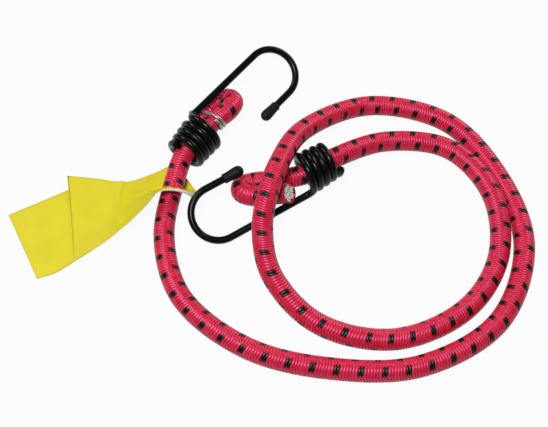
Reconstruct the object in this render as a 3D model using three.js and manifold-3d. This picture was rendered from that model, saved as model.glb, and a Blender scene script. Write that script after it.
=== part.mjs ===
// A relaxed bungee cord lying on a table: a braided elastic cord with a coiled wire hook on each end
// and a paper tag threaded on it. Millimetres, +Z up, +Y away from the viewer, table at z = 0.

import * as THREE from 'three';
import { mergeVertices } from 'three/addons/utils/BufferGeometryUtils.js';
import Module from 'manifold-3d';

const wasm = await Module();
wasm.setup();

// Cord
const CORD_DIAMETER = 10;
const SHEATH_WALL = 1.4;
const STRAND_COUNT = 6;
const STRAND_GAP = 0.3;
const STRAND_CLEARANCE = 0.2;
const CORD_SIDES = 12;
const STRAND_SIDES = 4;
const STEPS_PER_SPAN = 2;
const SEARCH_STEPS = 200;
const FLAT_SHARE = 0.1;

// Hook wire
const WIRE_DIAMETER = 3.5;
const WIRE_SIDES = 6;
const COIL_TURNS = 4.1;
const COIL_GAP = 0.45;
const COIL_CLEARANCE = 1;
const COIL_FLARE = 1.35;
const COIL_STEPS_PER_TURN = 24;
const SHANK_SET_OUT = 0.3;
const BEND_RADIUS = 12.8;
const BEND_STEPS = 13;
const LEG_LENGTH = 20.6;
const ELBOW_LENGTH = 4;
const ELBOW_ANGLE = THREE.MathUtils.degToRad(26);
const ELBOW_STEPS = 5;

// Tip cap
const CAP_LENGTH = 10.5;
const CAP_END_WALL = 2.5;
const CAP_COLLAR_WALL = 0.65;
const CAP_COLLAR_LENGTH = 1.6;
const CAP_BULB_WALL = 0.95;
const CAP_CLEARANCE = 0.35;
const CAP_SIDES = 14;

// Crimp ring
const RING_WIRE_DIAMETER = 1.5;
const RING_SIDES = 6;
const RING_CLEARANCE = 0.5;
const RING_SQUEEZE_SHARE = 0.2;
const RING_SQUEEZE_REACH = 8;
const RING_END_GAP = 0.5;
const RING_OVERLAP = 8;
const RING_STEPS = 40;

// Tag
const TAG_THICKNESS = 0.5;
const TAG_TABLE_GAP = 0.2;
const TAG_HOLE_CLEARANCE = 0.9;
const TAG_STEPS_PER_STATION = 2;

// Sizes that follow from the ones above
const cordRadius = CORD_DIAMETER / 2;
const wireRadius = WIRE_DIAMETER / 2;
const coilSmallRadius = cordRadius + COIL_CLEARANCE + wireRadius;
const coilLargeRadius = coilSmallRadius + COIL_FLARE;
const coilPitch = WIRE_DIAMETER + COIL_GAP;
const shankOffset = coilLargeRadius + SHANK_SET_OUT;
const legOffset = shankOffset - 2 * BEND_RADIUS;
const capBoreRadius = wireRadius + CAP_CLEARANCE;
const capBoreDepth = CAP_LENGTH - CAP_END_WALL;
const sheathBore = cordRadius - SHEATH_WALL;
const strandSpace = sheathBore * Math.cos(Math.PI / CORD_SIDES) - STRAND_CLEARANCE;
const strandSize = (2 * strandSpace - 2 * STRAND_GAP) / 3;
const tagHoleReach = cordRadius + TAG_HOLE_CLEARANCE;

// The cord's route, from the cut end at hook B to the cut end at hook A.
// The third value is the lift above the height at which the cord lies on the table.
const CORD_REST_HEIGHT = CORD_DIAMETER * (0.5 - FLAT_SHARE);
const CORD_ROUTE = [
  [10.6, 2.8, 9.0],
  [-7.0, 3.2, 5.6],
  [-11.9, 5.7, 4.6],
  [-11.9, 10.7, 2.2],
  [-7.0, 13.1, 1.2],
  [0.0, 13.1, 3.2],
  [17.3, 14.1, 7.0],
  [24.3, 18.2, 7.5],
  [31.2, 22.4, 7.9],
  [58.2, 35.7, 2.9],
  [88.4, 31.3, 3.2],
  [106.7, 4.6, 5.2],
  [107.5, -26.5, 1.5],
  [90.3, -52.7, 0.0],
  [56.8, -67.6, 0.0],
  [22.7, -60.4, 1.2],
  [2.2, -39.3, 7.4],
  [-2.0, -19.6, 14.8],
  [0.5, -4.5, 20.6],
  [5.5, 11.4, 20.8],
  [18.1, 37.3, 11.3],
  [52.1, 59.0, 0.3],
  [89.5, 49.0, 0.0],
  [111.8, 17.5, 0.0],
  [120.1, -20.0, 0.0],
  [104.5, -58.8, 0.0],
  [68.0, -80.2, 0.0],
  [28.0, -81.4, 0.0],
  [-9.3, -71.5, 0.0],
  [-38.8, -47.0, 0.0],
  [-48.2, -16.4, 0.8],
  [-44.6, 11.9, 2.8],
  [-40.2, 26.3, 5.6],
  [-30.9, 39.4, 6.95],
  [-24.6, 46.4, 6.6],
  [-18.6, 53.0, 6.0],
  [-17.0, 58.3, 4.8],
  [-20.2, 61.7, 2.9],
  [-25.3, 59.4, 2.3],
  [-36.4, 49.0, 2.2],
];

// How many of the route's spans lie between a cut end and its crimp, and between cut end A and the tag
const CRIMP_SPAN_COUNT = 5;
const TAG_SPAN_COUNT = 8;

// Each hook's place: the middle of its coil's wide end (third value lifted as on the route),
// its heading on the table, its pitch and its roll about the coil. The two hooks differ a little
// in the length of the shank and in its lean from the coil's axis.
const HOOK_A = { at: [-30.87, 39.41, 6.95], heading: 54.6, pitch: 4.8, roll: 28.2 };
const HOOK_A_SHANK_LENGTH = 48.5;
const HOOK_A_LEAN = THREE.MathUtils.degToRad(5.5);
const HOOK_B = { at: [17.3, 14.05, 6.95], heading: -148.95, pitch: -4, roll: -25.9 };
const HOOK_B_SHANK_LENGTH = 45;
const HOOK_B_LEAN = THREE.MathUtils.degToRad(0.5);

// Where the middle of the cord passes the tag's fold and the tag's near edge
const TAG_CORD_AT_FOLD = -44.7;
const TAG_CORD_AT_NEAR_EDGE = -45.2;

// The tag's stations, from its free end to its threaded end: far edge, fold and near edge.
// Its far half lies on the table under the cord. Its near half rises from the fold, and the cord
// passes through it. The third value is the height above the table.
const TAG_STATIONS = [
  { far: [-124.0, -2.1, 0], fold: [-115.1, -19.2, 0], near: [-106.4, -36.4, 0] },
  { far: [-110.5, 5.0, 0], fold: [-104.0, -13.0, 0], near: [-97.0, -32.0, 0] },
  { far: [-97.3, 13.5, 0], fold: [-93.0, -7.0, 0], near: [-88.5, -26.0, 0] },
  { far: [-83.2, 18.4, 0], fold: [-81.0, -1.0, 0], near: [-79.3, -18.6, 3] },
  { far: [-70.8, 16.0, 0], fold: [-70.1, 5.5, 0], near: [-67.9, -13.4, 11] },
  { far: [-59.3, 19.2, 0], fold: [-58.5, 11.3, 0], near: [-57.0, -5.5, 15.5] },
  {
    far: [-54.0, 22.0, 0],
    fold: [TAG_CORD_AT_FOLD - tagHoleReach, 13.0, 0],
    near: [TAG_CORD_AT_NEAR_EDGE - tagHoleReach, 0.9, 17],
  },
  {
    far: [-47.5, 26.0, 0],
    fold: [TAG_CORD_AT_FOLD + tagHoleReach, 12.0, 0],
    near: [TAG_CORD_AT_NEAR_EDGE + tagHoleReach, 1.6, 15.6],
  },
  { far: [-45.5, 27.0, 0], fold: [-34.5, 11.3, 0], near: [-34.6, 6.4, 7] },
];
const TAG_HOLE_SPAN_COUNT = 6;

// A route with one cross-section at each of its points, and evenly between them
class PointRoute extends THREE.CatmullRomCurve3 {
  getUtoTmapping(u) {
    return u;
  }
}

function polygon(radius, sides, centre = new THREE.Vector2(), turn = 0) {
  const corners = [];
  for (let i = 0; i < sides; i += 1) {
    const angle = turn + (2 * Math.PI * i) / sides;
    corners.push(new THREE.Vector2(radius * Math.cos(angle), radius * Math.sin(angle)).add(centre));
  }
  return corners;
}

function sweep(shape, route, stepsPerSpan = 1) {
  const steps = (route.points.length - 1) * stepsPerSpan;
  return new THREE.ExtrudeGeometry(shape, { steps, extrudePath: route, bevelEnabled: false });
}

function solidFrom(geometry) {
  const bare = geometry.clone();
  bare.deleteAttribute('normal');
  bare.deleteAttribute('uv');
  const merged = mergeVertices(bare, 1e-4);
  const vertProperties = new Float32Array(merged.attributes.position.array);
  const triVerts = new Uint32Array(merged.index.array);
  return new wasm.Manifold(new wasm.Mesh({ numProp: 3, vertProperties, triVerts }));
}

function geometryFrom(solid) {
  const mesh = solid.getMesh();
  const geometry = new THREE.BufferGeometry();
  geometry.setAttribute('position', new THREE.BufferAttribute(mesh.vertProperties, 3));
  geometry.setIndex(new THREE.BufferAttribute(mesh.triVerts, 1));
  geometry.computeVertexNormals();
  return geometry;
}

function piece(name, geometry, material) {
  const mesh = new THREE.Mesh(geometry, material);
  mesh.name = name;
  return mesh;
}

// Cord: a hollow braided sheath, cut flat where it lies on the table, over rubber strands

const cordPoints = CORD_ROUTE.map(([x, y, lift]) => new THREE.Vector3(x, y, CORD_REST_HEIGHT + lift));
const cordRoute = new PointRoute(cordPoints);

// The two runs of the doubled cord beside each crimp ring, with the cord's heading there

function runsAtCrimp(index, tailSpan) {
  const standing = cordPoints[index];
  const along = cordPoints[index + 1].clone().sub(cordPoints[index - 1]).normalize();
  let tail = null;
  let least = Infinity;
  for (let i = 0; i <= SEARCH_STEPS; i += 1) {
    const point = cordRoute.getPoint((tailSpan + i / SEARCH_STEPS) / (cordPoints.length - 1));
    const offset = Math.abs(point.clone().sub(standing).dot(along));
    if (offset < least) {
      least = offset;
      tail = point;
    }
  }
  const tailAlong = cordPoints[tailSpan + 1].clone().sub(cordPoints[tailSpan]).normalize();
  return [{ centre: standing, along }, { centre: tail, along: tailAlong }];
}

const lastPoint = cordPoints.length - 1;
const crimpA = runsAtCrimp(lastPoint - CRIMP_SPAN_COUNT, lastPoint - 1);
const crimpB = runsAtCrimp(CRIMP_SPAN_COUNT, 0);

// Draws the cord in towards its centre line under the crimp rings
function squeezed(geometry) {
  const position = geometry.attributes.position;
  const point = new THREE.Vector3();
  for (let i = 0; i < position.count; i += 1) {
    point.fromBufferAttribute(position, i);
    for (const { centre, along } of [...crimpA, ...crimpB]) {
      const travel = point.clone().sub(centre).dot(along);
      const foot = centre.clone().addScaledVector(along, travel);
      const nearness = 1 - Math.abs(travel) / RING_SQUEEZE_REACH;
      if (nearness > 0 && foot.distanceTo(point) < cordRadius + RING_CLEARANCE) {
        point.lerp(foot, RING_SQUEEZE_SHARE * Math.sin((nearness * Math.PI) / 2));
      }
    }
    position.setXYZ(i, point.x, point.y, point.z);
  }
  return geometry;
}

function sheath() {
  const outline = new THREE.Shape(polygon(cordRadius, CORD_SIDES));
  outline.holes.push(new THREE.Path(polygon(sheathBore, CORD_SIDES)));
  const tube = solidFrom(squeezed(sweep(outline, cordRoute, STEPS_PER_SPAN)));
  const box = new THREE.Box3().setFromPoints(cordPoints).expandByScalar(CORD_DIAMETER);
  const size = box.getSize(new THREE.Vector3());
  const middle = box.getCenter(new THREE.Vector3());
  const below = new THREE.BoxGeometry(size.x, size.y, CORD_DIAMETER);
  below.translate(middle.x, middle.y, -CORD_DIAMETER / 2);
  return geometryFrom(tube.subtract(solidFrom(below)));
}

function strand(index) {
  const ring = index === 0 ? 0 : strandSize + STRAND_GAP;
  const angle = (2 * Math.PI * index) / STRAND_COUNT;
  const centre = new THREE.Vector2(ring * Math.cos(angle), ring * Math.sin(angle));
  const outline = new THREE.Shape(polygon(strandSize / 2, STRAND_SIDES, centre, angle));
  return squeezed(sweep(outline, cordRoute, STEPS_PER_SPAN));
}

// Hook, in its own frame: +X along the coil towards the bend, the shank on the +Y side.
// The shank, the bend and the leg lean towards the coil's axis as one, about the shank's foot.

function helixPoint(angle) {
  const turned = angle / (2 * Math.PI);
  const radius = coilLargeRadius - (COIL_FLARE * turned) / COIL_TURNS;
  return new THREE.Vector3(-coilPitch * turned, radius * Math.cos(angle), radius * Math.sin(angle));
}

function coilPoints() {
  const end = 2 * Math.PI * COIL_TURNS;
  const steps = Math.round(((end - ELBOW_ANGLE) / (2 * Math.PI)) * COIL_STEPS_PER_TURN);
  const points = [];
  for (let i = 0; i <= steps; i += 1) {
    points.push(helixPoint(ELBOW_ANGLE + ((end - ELBOW_ANGLE) * i) / steps));
  }
  return points;
}

function leaning(points, lean) {
  const foot = new THREE.Vector3(0, shankOffset, 0);
  const axis = new THREE.Vector3(0, 0, 1);
  return points.map((point) => point.sub(foot).applyAxisAngle(axis, -lean).add(foot));
}

function bendPoints(shankLength) {
  const points = [];
  for (let i = 0; i <= BEND_STEPS; i += 1) {
    const angle = -Math.PI / 2 + (Math.PI * i) / BEND_STEPS;
    const x = shankLength + BEND_RADIUS * Math.cos(angle);
    points.push(new THREE.Vector3(x, shankOffset - BEND_RADIUS + BEND_RADIUS * Math.sin(angle), 0));
  }
  return points;
}

function elbowPoints(lean) {
  const [start] = leaning([new THREE.Vector3(ELBOW_LENGTH, shankOffset, 0)], lean);
  const corner = new THREE.Vector3(0, shankOffset, 0);
  const end = helixPoint(ELBOW_ANGLE);
  const entry = end.clone().sub(helixPoint(ELBOW_ANGLE + 0.01)).setLength(ELBOW_LENGTH * 0.6).add(end);
  const elbow = new THREE.CubicBezierCurve3(start, start.clone().lerp(corner, 0.6), entry, end);
  return elbow.getPoints(ELBOW_STEPS).slice(0, -1);
}

function hookWire(shankLength, lean) {
  const wireStart = shankLength - LEG_LENGTH + CAP_END_WALL + CAP_CLEARANCE;
  const straightAndBend = [
    new THREE.Vector3(wireStart, legOffset, 0),
    new THREE.Vector3(shankLength - wireRadius, legOffset, 0),
    ...bendPoints(shankLength),
    new THREE.Vector3(shankLength - wireRadius, shankOffset, 0),
    new THREE.Vector3(ELBOW_LENGTH + wireRadius, shankOffset, 0),
  ];
  const points = [...leaning(straightAndBend, lean), ...elbowPoints(lean), ...coilPoints()];
  return sweep(new THREE.Shape(polygon(wireRadius, WIRE_SIDES)), new PointRoute(points));
}

function tipCap(shankLength, lean) {
  const collar = capBoreRadius + CAP_COLLAR_WALL;
  const bulb = capBoreRadius + CAP_BULB_WALL;
  const bulbCentre = CAP_LENGTH - bulb;
  const profile = [
    new THREE.Vector2(0, capBoreDepth),
    new THREE.Vector2(capBoreRadius, capBoreDepth),
    new THREE.Vector2(capBoreRadius, 0),
    new THREE.Vector2(collar, 0),
    new THREE.Vector2(collar, CAP_COLLAR_LENGTH),
  ];
  for (let angle = 0; angle < 90; angle += 22.5) {
    const turn = THREE.MathUtils.degToRad(angle);
    profile.push(new THREE.Vector2(bulb * Math.cos(turn), bulbCentre + bulb * Math.sin(turn)));
  }
  profile.push(new THREE.Vector2(0, CAP_LENGTH));
  const cap = new THREE.LatheGeometry(profile, CAP_SIDES);
  cap.rotateZ(Math.PI / 2);
  cap.translate(shankLength - LEG_LENGTH + CAP_LENGTH, legOffset - shankOffset, 0);
  cap.rotateZ(-lean);
  cap.translate(0, shankOffset, 0);
  return cap;
}

function hook(name, place, shankLength, lean) {
  const group = new THREE.Group();
  const [x, y, lift] = place.at;
  group.position.set(x, y, CORD_REST_HEIGHT + lift);
  const [roll, pitch, heading] = [place.roll, -place.pitch, place.heading].map(THREE.MathUtils.degToRad);
  group.rotation.set(roll, pitch, heading, 'ZYX');
  group.add(piece(`${name}_wire`, hookWire(shankLength, lean), blackWire));
  group.add(piece(`${name}_tip_cap`, tipCap(shankLength, lean), blackRubber));
  return group;
}

// Crimp ring: round wire bent once round both runs of the doubled cord, its ends side by side

function crimpRing([standing, tail]) {
  const across = tail.centre.clone().sub(standing.centre);
  const span = across.length();
  across.normalize();
  const along = standing.along.clone().addScaledVector(across, -standing.along.dot(across)).normalize();
  const upright = across.clone().cross(along);
  const radius = cordRadius * (1 - RING_SQUEEZE_SHARE) + RING_CLEARANCE + RING_WIRE_DIAMETER / 2;
  const half = Math.PI * radius;
  const perimeter = 2 * half + 2 * span;
  const shift = RING_WIRE_DIAMETER + RING_END_GAP;

  function at(length) {
    const l = ((length % perimeter) + perimeter) % perimeter;
    const place = new THREE.Vector2();
    if (l < half / 2) {
      place.set(-radius * Math.cos(l / radius), radius * Math.sin(l / radius));
    } else if (l < half / 2 + span) {
      place.set(l - half / 2, radius);
    } else if (l < 1.5 * half + span) {
      const turn = (l - half / 2 - span) / radius;
      place.set(span + radius * Math.sin(turn), radius * Math.cos(turn));
    } else if (l < 1.5 * half + 2 * span) {
      place.set(span - (l - 1.5 * half - span), -radius);
    } else {
      const turn = (l - 1.5 * half - 2 * span) / radius;
      place.set(-radius * Math.sin(turn), -radius * Math.cos(turn));
    }
    return place;
  }

  const points = [];
  for (let i = 0; i <= RING_STEPS; i += 1) {
    const length = ((perimeter + RING_OVERLAP) * i) / RING_STEPS - RING_OVERLAP / 2;
    const place = at(length);
    const point = standing.centre.clone().addScaledVector(across, place.x).addScaledVector(upright, place.y);
    points.push(point.addScaledVector(along, shift * (length / perimeter - 0.5)));
  }
  return sweep(new THREE.Shape(polygon(RING_WIRE_DIAMETER / 2, RING_SIDES)), new PointRoute(points));
}

// Tag: a thin sheet with a hole for the cord, built as a grid of cells

function tagLine(edge) {
  const height = TAG_THICKNESS / 2 + TAG_TABLE_GAP;
  const points = TAG_STATIONS.map((station) => {
    const [x, y, rise] = station[edge];
    return new THREE.Vector3(x, y, rise + height);
  });
  return new PointRoute(points);
}

function tagGrid(rows) {
  const lines = { far: tagLine('far'), fold: tagLine('fold'), near: tagLine('near') };
  const columns = (TAG_STATIONS.length - 1) * TAG_STEPS_PER_STATION;
  const grid = [];
  for (let i = 0; i <= columns; i += 1) {
    const far = lines.far.getPoint(i / columns);
    const fold = lines.fold.getPoint(i / columns);
    const near = lines.near.getPoint(i / columns);
    grid.push(rows.map((row) => (row < 0 ? fold.clone().lerp(far, -row) : fold.clone().lerp(near, row))));
  }
  return grid;
}

function sheetSolid(grid, thickness, isOpen) {
  const columns = grid.length - 1;
  const rows = grid[0].length - 1;
  const normals = grid.map((line, i) => line.map((point, j) => {
    const acrossA = grid[Math.min(i + 1, columns)][j].clone().sub(grid[Math.max(i - 1, 0)][j]);
    const acrossB = line[Math.min(j + 1, rows)].clone().sub(line[Math.max(j - 1, 0)]);
    return acrossB.cross(acrossA).normalize();
  }));
  const positions = [];
  const corner = (i, j, side) => grid[i][j].clone().addScaledVector(normals[i][j], (side * thickness) / 2);
  const quad = (a, b, c, d) => {
    for (const point of [a, b, c, a, c, d]) positions.push(point.x, point.y, point.z);
  };
  const isPresent = (i, j) => i >= 0 && i < columns && j >= 0 && j < rows && !isOpen(i, j);
  for (let i = 0; i < columns; i += 1) {
    for (let j = 0; j < rows; j += 1) {
      if (!isPresent(i, j)) continue;
      quad(corner(i, j, 1), corner(i, j + 1, 1), corner(i + 1, j + 1, 1), corner(i + 1, j, 1));
      quad(corner(i, j, -1), corner(i + 1, j, -1), corner(i + 1, j + 1, -1), corner(i, j + 1, -1));
      const sides = [
        [i, j - 1, i + 1, j, i, j],
        [i, j + 1, i, j + 1, i + 1, j + 1],
        [i - 1, j, i, j, i, j + 1],
        [i + 1, j, i + 1, j + 1, i + 1, j],
      ];
      for (const [ni, nj, ai, aj, bi, bj] of sides) {
        if (isPresent(ni, nj)) continue;
        quad(corner(ai, aj, 1), corner(ai, aj, -1), corner(bi, bj, -1), corner(bi, bj, 1));
      }
    }
  }
  const geometry = new THREE.BufferGeometry();
  geometry.setAttribute('position', new THREE.Float32BufferAttribute(positions, 3));
  geometry.computeVertexNormals();
  return geometry;
}

function tag() {
  const cordAtTag = cordPoints[cordPoints.length - 1 - TAG_SPAN_COUNT];
  const rise = TAG_STATIONS[TAG_HOLE_SPAN_COUNT].near[2];
  const holeTop = (cordAtTag.z + cordRadius + TAG_HOLE_CLEARANCE) / rise;
  const rows = [-1, -0.5, 0, holeTop / 2, holeTop, 1];
  const firstColumn = TAG_HOLE_SPAN_COUNT * TAG_STEPS_PER_STATION;
  const isHole = (i, j) => i >= firstColumn && i < firstColumn + TAG_STEPS_PER_STATION && j >= 2 && j < 4;
  return sheetSolid(tagGrid(rows), TAG_THICKNESS, isHole);
}

// The least gap between turns that lie beside each other, measured on points along the centre line

function leastGap(curve, samples, diameter, apart) {
  const points = curve.getPoints(samples);
  const travelled = [0];
  for (let i = 1; i < points.length; i += 1) {
    travelled.push(travelled[i - 1] + points[i].distanceTo(points[i - 1]));
  }
  let least = Infinity;
  for (let i = 0; i < points.length; i += 1) {
    for (let j = i + 1; j < points.length; j += 1) {
      if (travelled[j] - travelled[i] > apart) least = Math.min(least, points[i].distanceTo(points[j]));
    }
  }
  return least - diameter;
}

const coilRoute = new PointRoute(coilPoints());
console.log('cord length', cordRoute.getLength().toFixed(1));
console.log('least cord gap', leastGap(cordRoute, 800, CORD_DIAMETER, 3 * CORD_DIAMETER).toFixed(2));
console.log('least coil gap', leastGap(coilRoute, 600, WIRE_DIAMETER, 6 * WIRE_DIAMETER).toFixed(2));

// Materials
const yarn = new THREE.MeshStandardMaterial({ color: 0xd2324d, roughness: 0.75, metalness: 0 });
const rubber = new THREE.MeshStandardMaterial({ color: 0xc9c3b4, roughness: 0.9, metalness: 0 });
const blackWire = new THREE.MeshStandardMaterial({ color: 0x151515, roughness: 0.3, metalness: 0 });
const blackRubber = new THREE.MeshStandardMaterial({ color: 0x1e1f20, roughness: 0.7, metalness: 0 });
const zinc = new THREE.MeshStandardMaterial({ color: 0xb8b4aa, roughness: 0.35, metalness: 1 });
const yellowPaper = new THREE.MeshStandardMaterial({ color: 0xe6d534, roughness: 0.6, metalness: 0 });

// Assembly
const bungee = new THREE.Group();
bungee.add(piece('cord_sheath', sheath(), yarn));
for (let i = 0; i <= STRAND_COUNT; i += 1) {
  bungee.add(piece(`core_strand_${i + 1}`, strand(i), rubber));
}
bungee.add(hook('hook_a', HOOK_A, HOOK_A_SHANK_LENGTH, HOOK_A_LEAN));
bungee.add(hook('hook_b', HOOK_B, HOOK_B_SHANK_LENGTH, HOOK_B_LEAN));
bungee.add(piece('crimp_ring_a', crimpRing(crimpA), zinc));
bungee.add(piece('crimp_ring_b', crimpRing(crimpB), zinc));
bungee.add(piece('tag', tag(), yellowPaper));

export default bungee;
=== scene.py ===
"""A relaxed bungee cord on a white table.

The braided cord lies in loose loops. It has a coiled wire hook and a crimp ring at each end, and a tag.
Lengths are written in millimetres, as on the CAD model, and turned into metres when a mesh is made.
"""
import math

import bpy
import numpy as np
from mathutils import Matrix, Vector


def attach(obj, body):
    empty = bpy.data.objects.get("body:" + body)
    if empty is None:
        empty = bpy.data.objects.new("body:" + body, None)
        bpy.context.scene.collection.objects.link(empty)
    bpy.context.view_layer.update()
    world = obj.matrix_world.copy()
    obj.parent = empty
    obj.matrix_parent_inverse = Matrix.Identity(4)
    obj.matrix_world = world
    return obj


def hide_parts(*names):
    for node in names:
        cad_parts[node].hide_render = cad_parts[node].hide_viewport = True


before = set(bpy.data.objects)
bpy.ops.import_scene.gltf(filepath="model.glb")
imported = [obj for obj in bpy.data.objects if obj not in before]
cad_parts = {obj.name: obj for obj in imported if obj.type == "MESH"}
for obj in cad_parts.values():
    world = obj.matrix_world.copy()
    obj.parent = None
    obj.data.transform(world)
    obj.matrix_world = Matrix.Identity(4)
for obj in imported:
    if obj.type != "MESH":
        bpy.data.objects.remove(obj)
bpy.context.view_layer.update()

MM = 0.001

# Camera

CAMERA_AT = Vector((3.3, -253.1, 443.5)) * MM
CAMERA_LOOKS_AT = Vector((3.3, -1.0, 0.0)) * MM
CAMERA_LENS = 69.84
CAMERA_SENSOR = 36.0
CAMERA_CLIP = (0.01, 20.0)

camera_data = bpy.data.cameras.new("camera")
camera_data.sensor_width = CAMERA_SENSOR
camera_data.lens = CAMERA_LENS
camera_data.clip_start, camera_data.clip_end = CAMERA_CLIP
camera = bpy.data.objects.new("camera", camera_data)
camera.location = CAMERA_AT
camera.rotation_euler = (CAMERA_LOOKS_AT - CAMERA_AT).to_track_quat("-Z", "Y").to_euler()
bpy.context.scene.collection.objects.link(camera)
bpy.context.scene.camera = camera
view_direction = np.array((CAMERA_AT - CAMERA_LOOKS_AT).normalized())
SIGHT_SLOPE = -view_direction[1] / view_direction[2]

# Sizes, as on the CAD model

CORD_DIAMETER = 10.0
CORD_RADIUS = CORD_DIAMETER / 2
CORD_REST_HEIGHT = 4.0
CORD_LYING_HEIGHT = 4.9
CORD_ROUTE = [
    (10.6, 2.8, 9.0),
    (-7.0, 3.2, 5.6),
    (-11.9, 5.7, 4.6),
    (-11.9, 10.7, 2.2),
    (-7.0, 13.1, 1.2),
    (0.0, 13.1, 3.2),
    (17.3, 14.1, 7.0),
    (24.3, 18.2, 7.5),
    (31.2, 22.4, 7.9),
    (58.2, 35.7, 2.9),
    (88.4, 31.3, 3.2),
    (106.7, 4.6, 5.2),
    (107.5, -26.5, 1.5),
    (90.3, -52.7, 0.0),
    (56.8, -67.6, 0.0),
    (22.7, -60.4, 1.2),
    (2.2, -39.3, 7.4),
    (-2.0, -19.6, 14.8),
    (0.5, -4.5, 20.6),
    (5.5, 11.4, 20.8),
    (18.1, 37.3, 11.3),
    (52.1, 59.0, 0.3),
    (89.5, 49.0, 0.0),
    (111.8, 17.5, 0.0),
    (120.1, -20.0, 0.0),
    (104.5, -58.8, 0.0),
    (68.0, -80.2, 0.0),
    (28.0, -81.4, 0.0),
    (-9.3, -71.5, 0.0),
    (-38.8, -47.0, 0.0),
    (-48.2, -16.4, 0.8),
    (-44.6, 11.9, 2.8),
    (-40.2, 26.3, 5.6),
    (-30.9, 39.4, 6.95),
    (-24.6, 46.4, 6.6),
    (-18.6, 53.0, 6.0),
    (-17.0, 58.3, 4.8),
    (-20.2, 61.7, 2.9),
    (-25.3, 59.4, 2.3),
    (-36.4, 49.0, 2.2),
]
CRIMP_SPAN_COUNT = 5
CORD_STEP = 0.2
CORD_SIDES = 48

# Braid

# ridges of yarn, eight to a lead, run in four wide columns and lean back in the narrow ones between them;
# two ridges of each lead are black where they cross a wide column
BRAID_LEAD = 9.87
BRAID_RIDGES = 8
BRAID_ROWS = 4
BRAID_LEAN = 0.45
BRAID_COLUMN_REACH = 30.0
BRAID_RIDGE_DEPTH = 0.2
BRAID_DIP_DEPTH = 0.1
BRAID_DIP_REACH = 8.0
BRAID_END_EASE = 2.0
FLECK_WIDTH = 0.25
FLECK_REACH = 16.0
THREAD_TWIST = 1.6
THREADS_AROUND = 40.0
THREADS_ALONG = 90.0
# along the cord: distance from its first end, the flecks' place in a lead, a fleck row's angle from the top
BRAID_LAY = [
    (0.0, 0.40, -25.0),
    (90.0, 1.05, -20.0),
    (150.0, 1.30, -30.0),
    (230.0, 1.00, -35.0),
    (285.0, 0.75, -15.0),
    (345.0, 1.35, -5.0),
    (370.0, 1.05, -10.0),
    (400.0, 0.55, -15.0),
    (430.0, 1.00, -15.0),
    (460.0, 1.25, -20.0),
    (490.0, 1.30, -30.0),
    (550.0, 1.55, -15.0),
    (610.0, 1.45, -45.0),
    (650.0, 1.35, -40.0),
    (690.0, 1.45, -25.0),
    (730.0, 1.70, -30.0),
    (765.0, 1.90, -45.0),
    (790.0, 1.85, -45.0),
    (850.0, 1.65, -40.0),
    (930.0, 1.45, -40.0),
]

# Hooks and rings

WIRE_DIAMETER = 3.5
COIL_WIRE_DIAMETER = 3.9
COIL_TURNS = 4.1
COIL_GAP = 0.45
COIL_CLEARANCE = 1.0
COIL_FLARE = 1.35
SHANK_SET_OUT = 0.3
BEND_RADIUS = 12.8
LEG_LENGTH = 20.6
ELBOW_LENGTH = 4.0
ELBOW_ANGLE = math.radians(26)
CAP_LENGTH = 10.5
CAP_BORE_DEPTH = 8.0
CAP_BORE_RADIUS = 1.85
CAP_BULB_RADIUS = 2.78
CAP_SIDES = 40
WIRE_END_GAP = 0.35
WIRE_SIDES = 24
WIRE_END_ROUND = 0.25
STRAIGHT_INSET = 4
ELBOW_LEAD = 3
ELBOW_PULL = 0.6
SMALL_ANGLE = 0.01
BEND_POINTS = 41
ELBOW_POINTS = 16
COIL_POINTS_PER_TURN = 56
HOOKS = {
    "a": {
        "at": (-30.87, 39.41, 10.95),
        "heading": 54.6,
        "pitch": 4.8,
        "roll": 28.2,
        "shank": 48.5,
        "lean": 5.5,
    },
    "b": {
        "at": (17.3, 14.05, 10.95),
        "heading": -148.95,
        "pitch": -4.0,
        "roll": -25.9,
        "shank": 45.0,
        "lean": 0.5,
    },
}
RING_WIRE_DIAMETER = 1.5
RING_SQUEEZE_SHARE = 0.2
RING_CLEARANCE = 0.2
RING_END_GAP = 0.4
RING_OVERLAP = 8.0
RING_SAG = 0.55
RING_POINTS = 120
RING_SIDES = 14
RING_END_ROUND = 0.3
# the rings lie nearer to the coils than on the CAD model, and draw the tails in
RING_SLIDE = 1.6
RING_TIP = 1.2
RING_DRAW_REACH = 2.2
RING_SQUEEZE_REACH = 2.6
PRESS_THINNING = 0.3
PRESS_WIDENING = 0.1

# Curves


def unit(v):
    return v / np.linalg.norm(v, axis=-1, keepdims=True)


def catmull(points, per_span):
    """The centripetal curve through the points, with per_span points for each stretch."""
    points = np.asarray(points, float)
    padded = np.vstack([2 * points[0] - points[1], points, 2 * points[-1] - points[-2]])
    t = np.linspace(0, 1, per_span, endpoint=False)[:, None]
    curve = []
    for k in range(len(points) - 1):
        p0, p1, p2, p3 = padded[k : k + 4]
        d0, d1, d2 = (np.linalg.norm(b - a) ** 0.5 for a, b in ((p0, p1), (p1, p2), (p2, p3)))
        m1 = ((p1 - p0) / d0 - (p2 - p0) / (d0 + d1) + (p2 - p1) / d1) * d1
        m2 = ((p2 - p1) / d1 - (p3 - p1) / (d1 + d2) + (p3 - p2) / d2) * d1
        curve.append(
            p1 + m1 * t + (-3 * p1 + 3 * p2 - 2 * m1 - m2) * t**2 + (2 * p1 - 2 * p2 + m1 + m2) * t**3
        )
    curve.append(points[-1:])
    return np.vstack(curve)


def travelled(curve):
    return np.r_[0.0, np.cumsum(np.linalg.norm(np.diff(curve, axis=0), axis=1))]


def even_steps(curve, step):
    s = travelled(curve)
    q = np.linspace(0, s[-1], int(round(s[-1] / step)) + 1)
    return np.stack([np.interp(q, s, curve[:, i]) for i in range(3)], 1), q


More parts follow.
